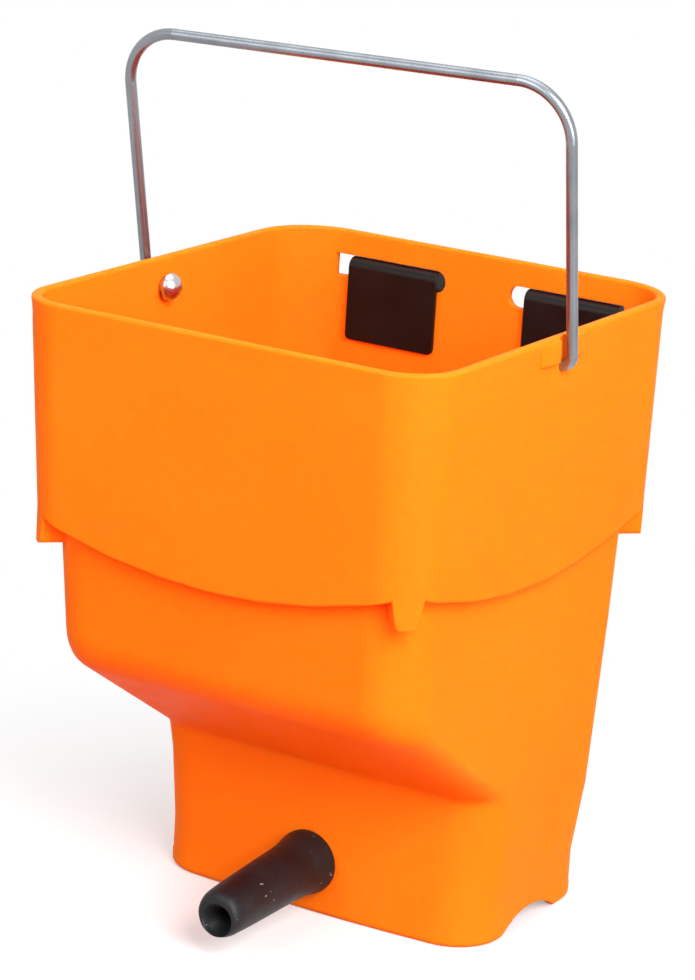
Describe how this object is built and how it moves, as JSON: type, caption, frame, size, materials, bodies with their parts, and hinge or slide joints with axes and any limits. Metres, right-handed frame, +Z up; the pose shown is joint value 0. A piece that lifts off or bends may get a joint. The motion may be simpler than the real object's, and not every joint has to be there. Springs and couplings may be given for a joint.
{
  "type": "calf feeder bucket",
  "caption": "Moulded feeding tub with a stepped band, sloping underside, narrow sump, rubber teat, swinging wire bail and rail hooks at the rear.",
  "frame": {"origin": "middle of the part's bounding box on the ground plane that the foot stands on", "axes": "+Z up; -Y the way the teat points; +X to the right of someone who faces the rear wall from the front"},
  "size_m": [0.2478, 0.2861, 0.436],
  "materials": {
    "tub_plastic": "satin moulded polypropylene",
    "bail_wire": "zinc-plated wire",
    "cap_metal": "polished push-on cap",
    "hook_plastic": "moulded, slight sheen",
    "teat_rubber": "soft matt rubber"
  },
  "bodies": {
    "tub": {"bucket_body": "tub_plastic", "teat": "teat_rubber"},
    "bail": {"bail_handle": "bail_wire", "pivot_cap_left": "cap_metal", "pivot_cap_right": "cap_metal"},
    "hook_left": {"gate_hook_left": "hook_plastic"},
    "hook_right": {"gate_hook_right": "hook_plastic"}
  },
  "joints": [
    {"name": "bail_swing", "type": "hinge", "parent": "tub", "child": "bail", "pos_m": [0, -0.02075, 0.3], "axis": [1, 0, 0], "range_deg": [-91, 101]},
    {"name": "left_hook_turn", "type": "hinge", "parent": "tub", "child": "hook_left", "pos_m": [-0.0506, 0.10546, 0.296], "axis": [1, 0, 0], "range_deg": [-38, 0]},
    {"name": "right_hook_turn", "type": "hinge", "parent": "tub", "child": "hook_right", "pos_m": [0.0532, 0.10546, 0.296], "axis": [1, 0, 0], "range_deg": [-38, 0]}
  ]
}
